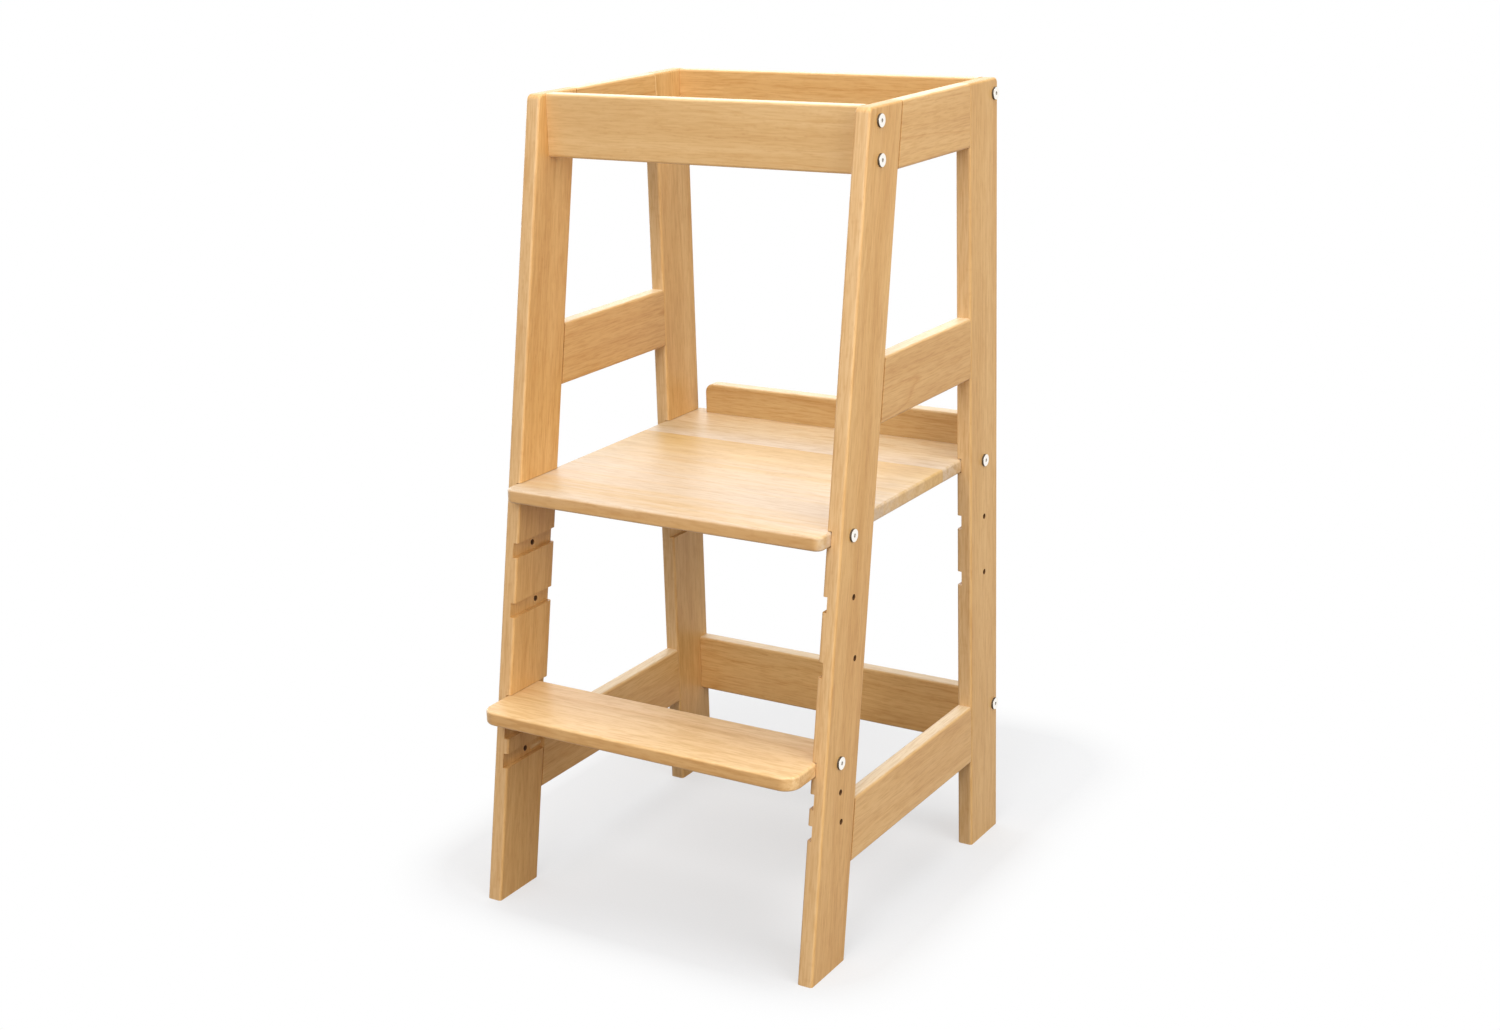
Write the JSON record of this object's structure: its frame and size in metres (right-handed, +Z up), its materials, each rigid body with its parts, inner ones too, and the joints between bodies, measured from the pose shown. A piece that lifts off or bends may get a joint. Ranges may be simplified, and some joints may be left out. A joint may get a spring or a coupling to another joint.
{
  "type": "toddler kitchen helper stool",
  "caption": "Height-adjustable wooden standing stool for a toddler: side frames of leaning front and upright rear legs, top ring of rails, grooved-in platform with back lip, and a step",
  "frame": {"origin": "on the floor, in the middle of the stool's width and depth", "axes": "+Z up, +Y from the front (step side) to the back, +X to the right as seen from the front"},
  "size_m": [0.4332, 0.467, 0.9],
  "materials": {
    "beech_legs": "clear satin lacquer on solid beech",
    "beech_rails": "clear satin lacquer on solid beech",
    "beech_platform_front": "clear satin lacquer on solid beech",
    "beech_platform_rear": "clear satin lacquer on paler solid beech",
    "beech_step": "clear satin lacquer on solid beech",
    "beech_dowels": "bare turned beech, glued",
    "bolt_nickel": "bright nickel plate",
    "nut_zinc": "zinc plate"
  },
  "bodies": {
    "stool": {"right_front_leg": "beech_legs", "right_rear_leg": "beech_legs", "left_front_leg": "beech_legs", "left_rear_leg": "beech_legs", "right_top_side_rail": "beech_rails", "right_middle_side_rail": "beech_rails", "right_lower_side_rail": "beech_rails", "left_top_side_rail": "beech_rails", "left_middle_side_rail": "beech_rails", "left_lower_side_rail": "beech_rails", "front_top_rail": "beech_rails", "rear_top_rail": "beech_rails", "rear_lower_rail": "beech_rails", "right_frame_dowels": "beech_dowels", "left_frame_dowels": "beech_dowels", "right_rail_dowels": "beech_dowels", "left_rail_dowels": "beech_dowels", "right_rail_bolts": "bolt_nickel", "left_rail_bolts": "bolt_nickel", "front_rail_barrel_nuts": "nut_zinc", "rear_rail_barrel_nuts": "nut_zinc"},
    "platform": {"platform_front_board": "beech_platform_front", "platform_rear_board": "beech_platform_rear", "platform_back_lip": "beech_rails", "lip_dowels": "beech_dowels", "platform_barrel_nuts": "nut_zinc"},
    "platform_bolts_right": {"right_platform_bolts": "bolt_nickel"},
    "platform_bolts_left": {"left_platform_bolts": "bolt_nickel"},
    "step": {"step_board": "beech_step", "step_barrel_nuts": "nut_zinc"},
    "step_bolt_right": {"right_step_bolt": "bolt_nickel"},
    "step_bolt_left": {"left_step_bolt": "bolt_nickel"}
  },
  "joints": [
    {"name": "platform_draw", "type": "slide", "parent": "stool", "child": "platform", "axis": [0, -1, 0], "range_m": [0, 0.48]},
    {"name": "step_draw", "type": "slide", "parent": "stool", "child": "step", "axis": [0, -1, 0], "range_m": [0, 0.3]},
    {"name": "right_platform_bolts_out", "type": "slide", "parent": "stool", "child": "platform_bolts_right", "axis": [1, 0, 0], "range_m": [0, 0.48]},
    {"name": "left_platform_bolts_out", "type": "slide", "parent": "stool", "child": "platform_bolts_left", "axis": [-1, 0, 0], "range_m": [0, 0.48]},
    {"name": "right_step_bolt_out", "type": "slide", "parent": "stool", "child": "step_bolt_right", "axis": [1, 0, 0], "range_m": [0, 0.45]},
    {"name": "left_step_bolt_out", "type": "slide", "parent": "stool", "child": "step_bolt_left", "axis": [-1, 0, 0], "range_m": [0, 0.45]}
  ],
  "couplings": [
    {"joint": "right_platform_bolts_out", "follows": "platform_draw", "ratio": 1},
    {"joint": "left_platform_bolts_out", "follows": "platform_draw", "ratio": 1},
    {"joint": "right_step_bolt_out", "follows": "step_draw", "ratio": 1.5},
    {"joint": "left_step_bolt_out", "follows": "step_draw", "ratio": 1.5}
  ]
}
